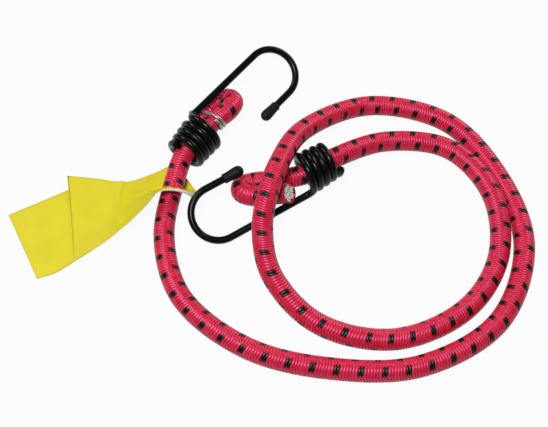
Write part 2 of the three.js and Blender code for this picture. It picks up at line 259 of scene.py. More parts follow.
def carried_frames(points):
    """Tangents and two normals that turn as little as possible along the points."""
    tangents = unit(np.gradient(points, axis=0))
    seed = np.array((0.0, 0.0, 1.0)) if abs(tangents[0][2]) < 0.9 else np.array((1.0, 0.0, 0.0))
    normal = unit(np.cross(np.cross(tangents[0], seed), tangents[0]))
    normals = [normal]
    for i in range(1, len(points)):
        normal = normal - tangents[i] * (normal @ tangents[i])
        normal = normal / np.linalg.norm(normal)
        normals.append(normal)
    normals = np.array(normals)
    return tangents, normals, np.cross(tangents, normals)


# Meshes


def add_mesh(name, vertices, faces, materials, face_materials=None, smooth=True):
    mesh = bpy.data.meshes.new(name)
    mesh.from_pydata((np.asarray(vertices) * MM).tolist(), [], faces)
    for material in materials:
        mesh.materials.append(material)
    if face_materials is not None:
        mesh.polygons.foreach_set("material_index", np.asarray(face_materials, np.int32))
    mesh.polygons.foreach_set("use_smooth", np.full(len(mesh.polygons), smooth))
    mesh.update()
    obj = bpy.data.objects.new(name, mesh)
    bpy.context.scene.collection.objects.link(obj)
    return obj


def grid_faces(rings, sides, first=0):
    i, j = np.meshgrid(np.arange(rings - 1), np.arange(sides), indexing="ij")
    k = (j + 1) % sides
    faces = np.stack([i * sides + j, i * sides + k, (i + 1) * sides + k, (i + 1) * sides + j], -1)
    return (faces.reshape(-1, 4) + first).tolist()


# a tube's rounded end: its radius at the tip and just behind it, and where that is
TIP_SHARE = 0.55
SHOULDER_SHARE = 0.9
SHOULDER_AT = 0.35


def tube(points, radius, sides, round_end, pressed=None):
    """A closed tube with softly rounded ends: its vertices and faces.

    Wire pressed flat gets thinner along the directions in pressed, and wider across them.
    """
    points = np.asarray(points, float)
    radius = np.broadcast_to(np.asarray(radius, float), len(points))
    tangents, normals, sidewise = carried_frames(points)
    edge = round_end * radius[0]
    lead_in = [
        (points[0], radius[0] * TIP_SHARE),
        (points[0] + tangents[0] * edge * SHOULDER_AT, radius[0] * SHOULDER_SHARE),
    ]
    lead_out = [
        (points[-1] - tangents[-1] * edge * SHOULDER_AT, radius[-1] * SHOULDER_SHARE),
        (points[-1], radius[-1] * TIP_SHARE),
    ]
    centres = [p for p, _ in lead_in] + [points[0] + tangents[0] * edge]
    radii = [r for _, r in lead_in] + [radius[0]]
    index = [0, 0, 0]
    for i in range(1, len(points) - 1):
        if np.linalg.norm(points[i] - points[0]) > edge and np.linalg.norm(points[i] - points[-1]) > edge:
            centres.append(points[i])
            radii.append(radius[i])
            index.append(i)
    last = len(points) - 1
    centres += [points[-1] - tangents[-1] * edge] + [p for p, _ in lead_out]
    radii += [radius[-1]] + [r for _, r in lead_out]
    index += [last, last, last]
    centres = np.array(centres)
    radii = np.array(radii)
    angles = 2 * np.pi * np.arange(sides) / sides
    across = normals[index][:, None] * np.cos(angles)[None, :, None]
    across = across + sidewise[index][:, None] * np.sin(angles)[None, :, None]
    if pressed is not None:
        flat = pressed[index][:, None]
        wide = unit(np.cross(tangents, pressed))[index][:, None]
        across = across - PRESS_THINNING * flat * (across * flat).sum(-1, keepdims=True)
        across = across + PRESS_WIDENING * wide * (across * wide).sum(-1, keepdims=True)
    vertices = (centres[:, None] + radii[:, None, None] * across).reshape(-1, 3)
    faces = grid_faces(len(centres), sides)
    faces.append(list(range(sides))[::-1])
    faces.append([(len(centres) - 1) * sides + j for j in range(sides)])
    return vertices, faces


def lathe(profile, sides):
    """A closed turned solid about +X: profile holds (distance along, radius), on the axis at both ends."""
    profile = np.asarray(profile, float)
    angles = 2 * np.pi * np.arange(sides) / sides
    body = profile[1:-1]
    rings = [
        np.stack([np.full(sides, x), r * np.cos(angles), r * np.sin(angles)], 1) for x, r in body
    ]
    vertices = np.vstack(rings + [[[profile[0][0], 0, 0]], [[profile[-1][0], 0, 0]]])
    faces = grid_faces(len(body), sides)
    first, last = len(body) * sides, len(body) * sides + 1
    for j in range(sides):
        faces.append([first, (j + 1) % sides, j])
        end = (len(body) - 1) * sides
        faces.append([last, end + j, end + (j + 1) % sides])
    return vertices, faces


# Materials

# the darker red in the grooves between the braid's yarn ridges is painted shade
RED_GROOVE_PAINTED_SHADE = (0.36, 0.005, 0.016)
RED_CREST = (0.66, 0.016, 0.046)
RED_PALE_YARN = (0.92, 0.065, 0.16)
RED_THREAD_SHADE = (0.40, 0.005, 0.016)
RED_PATCH = (0.55, 0.009, 0.028)
BLACK_YARN = (0.002, 0.002, 0.0025)
BLACK_YARN_PALE = (0.012, 0.011, 0.012)
RED_SHEEN = (1.0, 0.4, 0.85)
BLACK_SHEEN = (0.9, 1.0, 0.9)
CORE_DARK = (0.56, 0.53, 0.46)
CORE_PALE = (0.90, 0.88, 0.83)
CORE_PATCH = (0.70, 0.67, 0.60)
WIRE_COAT = (0.0032, 0.0032, 0.0035)
WIRE_SPECK = (0.012, 0.012, 0.0125)
CAP_BLACK = (0.0045, 0.0048, 0.0055)
CAP_DUST = (0.011, 0.0115, 0.0125)
ZINC_BRIGHT = (0.44, 0.44, 0.425)
ZINC_TARNISH = (0.29, 0.285, 0.27)
TAG_YELLOWS = [(0.70, 0.605, 0.014), (0.64, 0.545, 0.012), (0.76, 0.675, 0.05)]
TAG_BACK_WHITES = [(0.78, 0.76, 0.70), (0.70, 0.68, 0.62), (0.86, 0.85, 0.82)]
FLOOR_GREYS = [(0.46, 0.46, 0.46), (0.48, 0.48, 0.48)]


class Nodes:
    """A small helper for writing a node tree from top to bottom."""

    def __init__(self, name):
        self.material = bpy.data.materials.new(name)
        self.material.use_nodes = True
        self.tree = self.material.node_tree
        self.shader = self.tree.nodes["Principled BSDF"]

    def node(self, kind, **settings):
        made = self.tree.nodes.new(kind)
        for key, value in settings.items():
            setattr(made, key, value)
        return made

    def put(self, value, socket):
        if isinstance(value, bpy.types.NodeSocket):
            self.tree.links.new(value, socket)
        else:
            socket.default_value = value

    def math(self, operation, a, b=0.0, c=0.0):
        made = self.node("ShaderNodeMath", operation=operation)
        for value, socket in zip((a, b, c), made.inputs):
            self.put(value, socket)
        return made.outputs[0]

    def mix(self, factor, a, b):
        made = self.node("ShaderNodeMix", data_type="RGBA")
        self.put(factor, made.inputs["Factor"])
        for value, socket in ((a, made.inputs[6]), (b, made.inputs[7])):
            self.put(value if isinstance(value, bpy.types.NodeSocket) else (*value, 1.0), socket)
        return made.outputs[2]

    def ramp(self, value, low, high, to_low=0.0, to_high=1.0):
        made = self.node("ShaderNodeMapRange", clamp=True)
        for item, socket in zip((value, low, high, to_low, to_high), made.inputs):
            self.put(item, socket)
        return made.outputs[0]

    def noise(self, vector, scale, detail=3.0, rough=0.55):
        made = self.node("ShaderNodeTexNoise")
        if vector is not None:
            self.put(vector, made.inputs["Vector"])
        made.inputs["Scale"].default_value = scale
        made.inputs["Detail"].default_value = detail
        made.inputs["Roughness"].default_value = rough
        return made.outputs["Fac"]

    def place(self):
        return self.node("ShaderNodeTexCoord").outputs["Object"]

    def vector(self, x, y, z):
        made = self.node("ShaderNodeCombineXYZ")
        for value, socket in zip((x, y, z), made.inputs):
            self.put(value, socket)
        return made.outputs[0]

    def bump(self, height, strength, distance_mm):
        made = self.node("ShaderNodeBump")
        made.inputs["Strength"].default_value = strength
        made.inputs["Distance"].default_value = distance_mm * MM
        self.put(height, made.inputs["Height"])
        self.tree.links.new(made.outputs[0], self.shader.inputs["Normal"])

    def set(self, **values):
        for key, value in values.items():
            self.put(value, self.shader.inputs[key.replace("_", " ")])


def braid_material():
    n = Nodes("red_braid")
    uv = n.node("ShaderNodeUVMap", uv_map="braid").outputs[0]
    split = n.node("ShaderNodeSeparateXYZ")
    n.put(uv, split.inputs[0])
    u, v = split.outputs[0], split.outputs[1]
    row = n.math("DIVIDE", n.math("ROUND", n.math("MULTIPLY", u, BRAID_ROWS)), BRAID_ROWS)
    off_row = n.math("MULTIPLY", n.math("SUBTRACT", u, row), 360.0)
    off_far = n.math("ABSOLUTE", off_row)
    lean_back = n.math("MULTIPLY_ADD", off_far, -2.0, 3 * BRAID_COLUMN_REACH)
    zigzag = n.math("MULTIPLY", n.math("SIGN", off_row), n.math("MINIMUM", off_far, lean_back))
    lay = n.math("MULTIPLY_ADD", zigzag, BRAID_LEAN / 360.0, v)
    ridge = n.math("ABSOLUTE", n.math("SINE", n.math("MULTIPLY", lay, BRAID_RIDGES * math.pi)))
    from_fleck = n.math("FRACT", n.math("ADD", n.math("SUBTRACT", lay, row), FLECK_WIDTH / 2))
    in_carrier = n.math("LESS_THAN", from_fleck, FLECK_WIDTH)
    reach = n.math("MULTIPLY_ADD", ridge, FLECK_REACH, FLECK_REACH)
    in_row = n.ramp(n.math("SUBTRACT", off_far, reach), -1.0, 1.0, 1.0, 0.0)
    black = n.math("MULTIPLY", in_carrier, in_row)

    ridge_number = n.math("FLOOR", n.math("MULTIPLY", lay, BRAID_RIDGES))
    yarn = n.vector(ridge_number, n.math("MULTIPLY", row, BRAID_ROWS), 0.0)
    chance = n.node("ShaderNodeTexWhiteNoise", noise_dimensions="3D")
    n.put(yarn, chance.inputs["Vector"])
    twisted = n.math("MULTIPLY_ADD", u, THREAD_TWIST, v)
    around = n.math("MULTIPLY", u, THREADS_AROUND)
    along = n.math("MULTIPLY", twisted, THREADS_ALONG)
    threads = n.noise(n.vector(around, along, 0.0), 1.0, 2.0)
    patches = n.noise(n.place(), 60.0, 2.0)
    # painted shade: the red darkens from each ridge's crest into the grooves between the ridges
    lit = n.ramp(ridge, 0.1, 0.8)
    red = n.mix(lit, RED_GROOVE_PAINTED_SHADE, RED_CREST)
    red = n.mix(n.math("MULTIPLY", chance.outputs["Value"], 0.28), red, RED_PALE_YARN)
    red = n.mix(n.ramp(threads, 0.35, 0.75, 0.0, 0.25), red, RED_THREAD_SHADE)
    red = n.mix(n.ramp(patches, 0.4, 0.7, 0.0, 0.14), red, RED_PATCH)
    dark = n.mix(n.ramp(threads, 0.3, 0.8), BLACK_YARN, BLACK_YARN_PALE)
    n.set(Base_Color=n.mix(black, red, dark))
    n.set(Roughness=n.ramp(ridge, 0.0, 1.0, 0.5, 0.34))
    gloss = n.ramp(ridge, 0.25, 0.85, 0.05, 1.0)
    n.set(Specular_IOR_Level=n.math("MULTIPLY", gloss, n.math("MULTIPLY_ADD", black, -0.6, 1.0)))
    n.set(Specular_Tint=n.mix(black, RED_SHEEN, BLACK_SHEEN))
    n.bump(threads, 0.3, 0.06)
    return n.material


def rubber_core_material():
    n = Nodes("core_rubber")
    place = n.place()
    grains = n.noise(place, 900.0, 4.0, 0.7)
    patches = n.noise(place, 260.0, 3.0)
    colour = n.mix(n.ramp(grains, 0.35, 0.65), CORE_DARK, CORE_PALE)
    n.set(Base_Color=n.mix(n.ramp(patches, 0.4, 0.7, 0.0, 0.5), colour, CORE_PATCH))
    n.shader.inputs["Roughness"].default_value = 0.85
    n.bump(grains, 0.5, 0.1)
    return n.material


def black_wire_material():
    n = Nodes("black_wire")
    place = n.place()
    drips = n.noise(place, 130.0, 2.0)
    specks = n.noise(place, 1500.0, 3.0, 0.7)
    colour = n.mix(n.ramp(specks, 0.62, 0.78), WIRE_COAT, WIRE_SPECK)
    n.set(Base_Color=colour)
    n.set(Roughness=n.ramp(drips, 0.3, 0.7, 0.2, 0.34))
    n.shader.inputs["Specular IOR Level"].default_value = 0.19
    n.bump(drips, 0.18, 0.25)
    return n.material


def black_rubber_material():
    n = Nodes("black_rubber")
    place = n.place()
    grain = n.noise(place, 1200.0, 4.0, 0.65)
    dust = n.noise(place, 240.0, 3.0)
    colour = n.mix(n.ramp(dust, 0.45, 0.75), CAP_BLACK, CAP_DUST)
    n.set(Base_Color=colour)
    n.set(Roughness=n.ramp(dust, 0.3, 0.7, 0.46, 0.6))
    n.shader.inputs["Specular IOR Level"].default_value = 0.18
    n.bump(grain, 0.25, 0.06)
    return n.material


def zinc_material():
    n = Nodes("zinc_wire")
    place = n.place()
    scratches = n.noise(place, 2200.0, 3.0, 0.7)
    tarnish = n.noise(place, 420.0, 4.0)
    colour = n.mix(n.ramp(tarnish, 0.4, 0.72), ZINC_BRIGHT, ZINC_TARNISH)
    n.set(Base_Color=colour)
    n.shader.inputs["Metallic"].default_value = 0.7
    n.set(Roughness=n.ramp(scratches, 0.3, 0.7, 0.3, 0.46))
    n.bump(scratches, 0.15, 0.03)
    return n.material


def tag_material(name, colour, shade, pale):
    n = Nodes(name)
    place = n.place()
    fibre = n.noise(place, 1400.0, 4.0, 0.7)
    cloud = n.noise(place, 55.0, 3.0)
    wrinkle = n.noise(place, 190.0, 3.0)
    tone = n.mix(n.ramp(cloud, 0.35, 0.7), colour, shade)
    tone = n.mix(n.ramp(fibre, 0.5, 0.8, 0.0, 0.22), tone, pale)
    n.set(Base_Color=tone)
    n.set(Roughness=n.ramp(fibre, 0.3, 0.7, 0.5, 0.64))
    n.shader.inputs["Specular IOR Level"].default_value = 0.3
    n.bump(n.math("MULTIPLY_ADD", wrinkle, 2.0, fibre), 0.16, 0.3)
    return n.material


BRAID = braid_material()
CORE = rubber_core_material()
WIRE = black_wire_material()
CAP = black_rubber_material()
ZINC = zinc_material()
TAG_FACE = tag_material("yellow_tag", *TAG_YELLOWS)
TAG_BACK = tag_material("yellow_tag_back", *TAG_BACK_WHITES)

# Cord

# it is round where the CAD model is cut flat, so its middle lies higher there, and nearer by as much as
# keeps it on the same line of sight
PER_SPAN = 60
LIFT_SOFTENING = 0.09
HEADING_POINTS = 12
LAST_POINT = len(CORD_ROUTE) - 1
route = np.array(CORD_ROUTE)
route[:, 2] += CORD_REST_HEIGHT
raw_curve = catmull(route, PER_SPAN)
above = raw_curve[:, 2] - CORD_LYING_HEIGHT
cord_curve = raw_curve.copy()
cord_curve[:, 2] = CORD_LYING_HEIGHT + 0.5 * (above + np.sqrt(above**2 + LIFT_SOFTENING))
cord_curve[:, 1] -= SIGHT_SLOPE * (cord_curve[:, 2] - raw_curve[:, 2])


def crimp_places(curve, standing_point, tail_span, coil_side):
    """Where a ring lies, as numbers of curve points: on the standing run, and on the tail beside it."""
    travel = travelled(curve)
    wanted = travel[standing_point * PER_SPAN] + coil_side * RING_SLIDE
    standing = int(np.argmin(np.abs(travel - wanted)))
    heading = unit(curve[standing + HEADING_POINTS] - curve[standing - HEADING_POINTS])
    span = np.arange(tail_span * PER_SPAN, (tail_span + 1) * PER_SPAN)
    tail = int(span[np.argmin(np.abs((curve[span] - curve[standing]) @ heading))])
    return standing, tail


CRIMP_PLACES = {
    "a": crimp_places(cord_curve, LAST_POINT - CRIMP_SPAN_COUNT, LAST_POINT - 1, -1.0),
    "b": crimp_places(cord_curve, CRIMP_SPAN_COUNT, 0, 1.0),
}


def drawn_in(curve):
    """The curve with each tail drawn by its ring to the standing run, until the two squeezed runs touch."""
    curve = curve.copy()
    travel = travelled(curve)
    for standing, tail in CRIMP_PLACES.values():
        way = curve[standing] - curve[tail]
        gap = np.linalg.norm(way) - CORD_DIAMETER * (1 - RING_SQUEEZE_SHARE)
        share = np.exp(-(((travel - travel[tail]) / RING_DRAW_REACH) ** 2))
        curve += share[:, None] * unit(way) * gap
    return curve


braid_travel = travelled(cord_curve)
cord_curve = drawn_in(cord_curve)
cord_travel = travelled(cord_curve)
cord_line, cord_s = even_steps(cord_curve, CORD_STEP)
braid_s = np.interp(cord_s, cord_travel, braid_travel)
cord_length = cord_s[-1]


def frames_at(line):
    """Heading, right-hand side and top of the cord along a line."""
    heading = unit(np.gradient(line, axis=0))
    right = unit(np.cross(heading, (0.0, 0.0, 1.0)))
    return heading, right, np.cross(right, heading)


cord_heading, cord_right, cord_top = frames_at(cord_line)


def squeeze(s):
    """The cord's thickness along its length, as a share: the crimp rings draw it in."""
    share = np.ones_like(s)
    for places in CRIMP_PLACES.values():
        for at in cord_travel[list(places)]:
            share = share - RING_SQUEEZE_SHARE * np.exp(-(((s - at) / RING_SQUEEZE_REACH) ** 2))
    return share


def lay_at(s):
    table = np.array(BRAID_LAY)
    return np.interp(s, table[:, 0], table[:, 1]), np.interp(s, table[:, 0], table[:, 2])


CUT_REACH = 9.0
CUT_FALL = 1.5


def cut_shift(s, arms, tilt_start, tilt_end):
    """How far each point near a cut end moves along the cord, so that the cut faces the way it does."""
    shift = np.zeros(arms.shape[:-1])
    for at, sign, facing, end in ((0.0, -1.0, tilt_start, 0), (cord_length, 1.0, tilt_end, -1)):
        out = sign * cord_heading[end]
        weight = np.clip(1.0 - np.abs(s - at) / CUT_REACH, 0.0, 1.0) ** CUT_FALL
        slope = -(arms @ facing) / (out @ facing)
        shift += sign * weight * slope
    return shift


# cut end B is turned towards the camera, and cut end A a little upwards
CUT_B_ALONG = 0.9
CUT_B_TO_CAMERA = 0.42
CUT_A_RISE = 0.12
CUT_B_FACING = unit(-cord_heading[0] * CUT_B_ALONG + view_direction * CUT_B_TO_CAMERA)
CUT_A_FACING = unit(cord_heading[-1] + np.array((0.0, 0.0, CUT_A_RISE)))
# the sheath at a cut end, from inside to the rim: distance into the cord, and share of its radius
CUT_RINGS = [(3.0, 0.45), (0.35, 0.86), (-0.1, 0.885), (-0.1, 0.95)]
CORE_RADIUS = 4.28


def cord_sheath():
    """The braided tube, with its yarn ridges and a slight dip where their lean changes."""
    last = len(cord_line) - 1
    rings = [(0, inside, share) for inside, share in CUT_RINGS]
    rings += [(i, 0.0, None) for i in range(last + 1)]
    rings += [(last, -inside, share) for inside, share in reversed(CUT_RINGS)]
    index = np.array([r[0] for r in rings])
    along = np.array([r[1] for r in rings])
    plain = np.array([np.nan if r[2] is None else r[2] for r in rings])
    s = cord_s[index]
    phase, row_angle = lay_at(braid_s[index])
    angles = 360.0 * np.arange(CORD_SIDES + 1) / CORD_SIDES
    u = (angles[None, :] - row_angle[:, None]) / 360.0
    v = np.repeat(((braid_s[index] + along) / BRAID_LEAD - phase)[:, None], CORD_SIDES + 1, 1)
    off = (u - np.round(u * BRAID_ROWS) / BRAID_ROWS) * 360.0
    far = np.abs(off)
    zigzag = np.sign(off) * np.minimum(far, 3 * BRAID_COLUMN_REACH - 2 * far)
    ridge = np.abs(np.sin(BRAID_RIDGES * np.pi * (v + BRAID_LEAN * zigzag / 360.0)))
    dip = np.clip(1.0 - np.abs(far - BRAID_COLUMN_REACH) / BRAID_DIP_REACH, 0.0, 1.0)
    ends = np.clip(np.minimum(s, cord_length - s) / BRAID_END_EASE, 0.0, 1.0)[:, None]
    radius = CORD_RADIUS - ends * (BRAID_RIDGE_DEPTH * (1.0 - ridge) + BRAID_DIP_DEPTH * dip)
    radius = radius * squeeze(s)[:, None]
    radius = np.where(np.isnan(plain)[:, None], radius, np.nan_to_num(plain)[:, None] * CORD_RADIUS)
    turn = np.radians(angles[:-1])
    outward = cord_top[index][:, None] * np.cos(turn)[None, :, None]
    outward = outward + cord_right[index][:, None] * np.sin(turn)[None, :, None]
    arms = outward * radius[:, :-1, None]
    shift = along[:, None] + cut_shift(s[:, None], arms, CUT_B_FACING, CUT_A_FACING)
    points = cord_line[index][:, None] + arms + cord_heading[index][:, None] * shift[..., None]
    faces = grid_faces(len(rings), CORD_SIDES)
    faces.append(list(range(CORD_SIDES))[::-1])
    faces.append([(len(rings) - 1) * CORD_SIDES + j for j in range(CORD_SIDES)])
    obj = add_mesh("braided_sheath", points.reshape(-1, 3), faces, [BRAID])
    layer = obj.data.uv_layers.new(name="braid")
    low_u, high_u = u[:, :-1], u[:, 1:]
    corners = np.stack(
        [
            np.stack([low_u[:-1], v[:-1, :-1]], -1),
            np.stack([high_u[:-1], v[:-1, :-1]], -1),
            np.stack([high_u[1:], v[1:, :-1]], -1),
            np.stack([low_u[1:], v[1:, :-1]], -1),
        ],
        2,
    ).reshape(-1, 2)
    discs = np.full((2 * CORD_SIDES, 2), 0.5)
    layer.data.foreach_set("uv", np.vstack([corners, discs]).ravel().astype(np.float32))
    return obj


sheath = cord_sheath()
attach(sheath, "cord")
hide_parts("cord_sheath")

# Core: seven strands of rubber threads, which show at the cut ends

STRAND_RADIUS = CORE_RADIUS / 3
THREAD_RADIUS = STRAND_RADIUS / 3
STRAND_COUNT = 7
THREAD_COUNT = 7
STRAND_FILL = 0.97
STRAND_MARGIN = 10
STRAND_EVERY = 14
STRAND_SIDES = 10
STRAND_END_ROUND = 0.2
THREAD_POINTS = 15
THREAD_SIDES = 8
THREAD_END_ROUND = 0.6
THREAD_TURN = 0.3
THREAD_REACH = (-0.25, 0.3)
THREAD_SIZE = (0.9, 1.02)
CORE_SEED = 7
chance = np.random.default_rng(CORE_SEED)


def core_strand(k):
    ring = 0.0 if k == 0 else 2 * STRAND_RADIUS
    turn = math.radians(60.0 * k)
    middle = np.array((ring * math.cos(turn), ring * math.sin(turn)))
    vertices, faces = [], []

    def add(points, radius, sides, rounding):
        verts, more = tube(points, radius, sides, rounding)
        first = sum(len(x) for x in vertices)
        vertices.append(verts)
        faces.extend([[q + first for q in face] for face in more])

    def run(index, offset, along=0.0):
        arms = cord_top[index] * offset[0] + cord_right[index] * offset[1]
        shift = along + cut_shift(cord_s[index], arms, CUT_B_FACING, CUT_A_FACING)
        drawn = arms * squeeze(cord_s[index])[:, None]
        return cord_line[index] + drawn + cord_heading[index] * shift[:, None]

    body = np.arange(STRAND_MARGIN, len(cord_line) - STRAND_MARGIN, STRAND_EVERY)
    body_radius = STRAND_FILL * STRAND_RADIUS * squeeze(cord_s[body])
    add(run(body, middle), body_radius, STRAND_SIDES, STRAND_END_ROUND)
    first_points = np.arange(0, THREAD_POINTS)
    last_points = np.arange(len(cord_line) - THREAD_POINTS, len(cord_line))
    for t in range(THREAD_COUNT):
        step = 0.0 if t == 0 else 2 * THREAD_RADIUS
        angle = math.radians(60.0 * t) + turn + THREAD_TURN
        offset = middle + step * np.array((math.cos(angle), math.sin(angle)))
        for index in (first_points, last_points):
            outwards = -1.0 if index[0] == 0 else 1.0
            reach = outwards * chance.uniform(*THREAD_REACH)
            radius = THREAD_RADIUS * chance.uniform(*THREAD_SIZE)
            add(run(index, offset, reach), radius, THREAD_SIDES, THREAD_END_ROUND)
    return add_mesh(f"core_threads_{k + 1}", np.vstack(vertices), faces, [CORE])


for k in range(STRAND_COUNT):
    strand = core_strand(k)
    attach(strand, "cord")
    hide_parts(f"core_strand_{k + 1}")

# Hooks, in their own frame: +X along the coil towards the bend, the shank on the +Y side

wire_radius = WIRE_DIAMETER / 2
coil_wire_radius = COIL_WIRE_DIAMETER / 2
coil_large_radius = CORD_RADIUS + COIL_CLEARANCE + wire_radius + COIL_FLARE
coil_pitch = WIRE_DIAMETER + COIL_GAP
shank_offset = coil_large_radius + SHANK_SET_OUT
leg_offset = shank_offset - 2 * BEND_RADIUS


def helix_point(angle):
    turned = angle / (2 * math.pi)
    radius = coil_large_radius - COIL_FLARE * turned / COIL_TURNS
    return np.stack([-coil_pitch * turned, radius * np.cos(angle), radius * np.sin(angle)], -1)


def leaned(points, lean):
    """Points of the shank, bend and leg, turned towards the coil's axis about the shank's foot."""
    foot = np.array((0.0, shank_offset, 0.0))
    c, s = math.cos(math.radians(lean)), math.sin(math.radians(lean))
    turn = np.array(((c, s, 0.0), (-s, c, 0.0), (0.0, 0.0, 1.0)))
    return (np.asarray(points, float) - foot) @ turn.T + foot


def hook_path(length, lean):
    """The wire's middle line from the leg to the coil's end, and its radius along it."""
    wire_start = length - LEG_LENGTH + CAP_LENGTH - CAP_BORE_DEPTH + WIRE_END_GAP
    leg = [(wire_start, leg_offset, 0.0), (length - STRAIGHT_INSET, leg_offset, 0.0)]
    angles = np.linspace(-math.pi / 2, math.pi / 2, BEND_POINTS)
    bend = np.stack(
        [
            length + BEND_RADIUS * np.cos(angles),
            shank_offset - BEND_RADIUS + BEND_RADIUS * np.sin(angles),
            np.zeros_like(angles),
        ],
        1,
    )
    shank = [
        (length - STRAIGHT_INSET, shank_offset, 0.0),
        (ELBOW_LENGTH + ELBOW_LEAD, shank_offset, 0.0),
    ]
    start = leaned([(ELBOW_LENGTH, shank_offset, 0.0)], lean)[0]
    corner = np.array((0.0, shank_offset, 0.0))
    end = helix_point(np.array(ELBOW_ANGLE))
    beyond = helix_point(np.array(ELBOW_ANGLE + SMALL_ANGLE))
    entry = end + unit(end - beyond) * ELBOW_LENGTH * ELBOW_PULL
    handle = start + (corner - start) * ELBOW_PULL
    t = np.linspace(0, 1, ELBOW_POINTS)[:-1, None]
    elbow = (1 - t) ** 3 * start + 3 * (1 - t) ** 2 * t * handle + 3 * (1 - t) * t**2 * entry + t**3 * end
    turns = np.linspace(ELBOW_ANGLE, 2 * math.pi * COIL_TURNS, int(COIL_TURNS * COIL_POINTS_PER_TURN))
    straight = leaned(np.vstack([leg, bend, shank]), lean)
    growing = np.linspace(wire_radius, coil_wire_radius, len(elbow))
    radius = np.r_[np.full(len(straight), wire_radius), growing, np.full(len(turns), coil_wire_radius)]
    return np.vstack([straight, elbow, helix_point(turns)]), radius


def hook_matrix(place):
    roll, pitch, heading = (math.radians(x) for x in (place["roll"], -place["pitch"], place["heading"]))
    cx, sx = math.cos(roll), math.sin(roll)
    cy, sy = math.cos(pitch), math.sin(pitch)
    cz, sz = math.cos(heading), math.sin(heading)
    about_x = np.array(((1, 0, 0), (0, cx, -sx), (0, sx, cx)))
    about_y = np.array(((cy, 0, sy), (0, 1, 0), (-sy, 0, cy)))
    about_z = np.array(((cz, -sz, 0), (sz, cz, 0), (0, 0, 1)))
    return about_z @ about_y @ about_x


def cap_profile():
    bulb = CAP_BULB_RADIUS
    profile = [
        (CAP_BORE_DEPTH, 0.0),
        (CAP_BORE_DEPTH, CAP_BORE_RADIUS),
        (0.15, CAP_BORE_RADIUS),
        (0.0, CAP_BORE_RADIUS + 0.12),
        (0.0, 2.2),
        (0.15, 2.36),
        (0.4, 2.42),
        (1.4, 2.44),
        (1.7, 2.4),
        (2.0, 2.4),
        (3.4, 2.5),
        (5.2, 2.66),
        (6.6, 2.76),
    ]
    for angle in np.linspace(0.0, 84.0, 9):
        turn = math.radians(angle)
        profile.append((CAP_LENGTH - bulb + bulb * math.sin(turn), bulb * math.cos(turn)))
    profile.append((CAP_LENGTH, 0.0))
    return profile


for key, place in HOOKS.items():
    matrix = hook_matrix(place)
    wire_line, wire_radii = hook_path(place["shank"], place["lean"])
    wire_vertices, wire_faces = tube(wire_line, wire_radii, WIRE_SIDES, WIRE_END_ROUND)
    wire = add_mesh(f"hook_{key}_coated_wire", wire_vertices @ matrix.T + place["at"], wire_faces, [WIRE])
    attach(wire, f"hook_{key}")
    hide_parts(f"hook_{key}_wire")
    cap_vertices, cap_faces = lathe(cap_profile(), CAP_SIDES)
    cap_mouth = place["shank"] - LEG_LENGTH + CAP_LENGTH
    cap_vertices = leaned(cap_vertices * (-1.0, 1.0, -1.0) + (cap_mouth, leg_offset, 0.0), place["lean"])
    cap = add_mesh(f"hook_{key}_rubber_cap", cap_vertices @ matrix.T + place["at"], cap_faces, [CAP])
    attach(cap, f"hook_{key}")
    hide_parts(f"hook_{key}_tip_cap")

# Crimp rings


def ring_path(places):
    """A ring's middle line round both runs, and its outward direction along it."""
    standing, tail = cord_curve[list(places)]
    heading = unit(cord_curve[places[0] + HEADING_POINTS] - cord_curve[places[0] - HEADING_POINTS])
    across = unit(tail - standing)
    span = np.linalg.norm(tail - standing)
    along = unit(heading - across * (heading @ across))
    upright = np.cross(across, along)
    radius = CORD_RADIUS * (1 - RING_SQUEEZE_SHARE) + RING_CLEARANCE + RING_WIRE_DIAMETER / 2
    tip = RING_TIP * (1.0 if places[0] < places[1] else -1.0) * (1.0 if upright[2] < 0 else -1.0)
    half = math.pi * radius
    perimeter = 2 * half + 2 * span
    points, outward = [], []
    for length in np.linspace(-RING_OVERLAP / 2, perimeter + RING_OVERLAP / 2, RING_POINTS):
        done = length % perimeter
        if done < half / 2:
            x, nx, ny = 0.0, -math.cos(done / radius), math.sin(done / radius)
        elif done < half / 2 + span:
            x, nx, ny = done - half / 2, 0.0, 1.0
        elif done < 1.5 * half + span:
            turn = (done - half / 2 - span) / radius
            x, nx, ny = span, math.sin(turn), math.cos(turn)
        elif done < 1.5 * half + 2 * span:
            x, nx, ny = span - (done - 1.5 * half - span), 0.0, -1.0
        else:
            turn = (done - 1.5 * half - 2 * span) / radius
            x, nx, ny = 0.0, -math.sin(turn), -math.cos(turn)
        shift = (RING_WIRE_DIAMETER * (1 + PRESS_WIDENING) + RING_END_GAP) * (length / perimeter - 0.5)
        sag = RING_SAG * math.sin(math.pi * min(max(x / span, 0.0), 1.0)) if ny in (1.0, -1.0) else 0.0
        height = (radius - sag) * ny
        shift += tip * ny
        points.append(standing + across * (x + radius * nx) + upright * height + along * shift)
        outward.append(across * nx + upright * ny)
    return np.array(points), np.array(outward)


for key, places in CRIMP_PLACES.items():
    ring_points, ring_outward = ring_path(places)
    ring_vertices, ring_faces = tube(
        ring_points, RING_WIRE_DIAMETER / 2, RING_SIDES, RING_END_ROUND, ring_outward
    )
    ring = add_mesh(f"crimp_{key}_wire", ring_vertices, ring_faces, [ZINC])
    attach(ring, "cord")
    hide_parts(f"crimp_ring_{key}")

# Tag: flat at its free end, tucked under itself in a pleat, then rising along a fold round the cord

TAG_THICKNESS = 0.22
TAG_PER_SPAN = 9
TAG_WAVE = 0.2
TAG_FREE_END_WAVE = 0.35
TAG_TOUCH_GAP = 0.1
TAG_PUSH_GAP = 0.25
TAG_CORD_FROM = 0.8
TAG_CORD_EVERY = 6
TAG_HOLE_RADIUS = 3.4
TAG_PUSH_FROM = 2.6
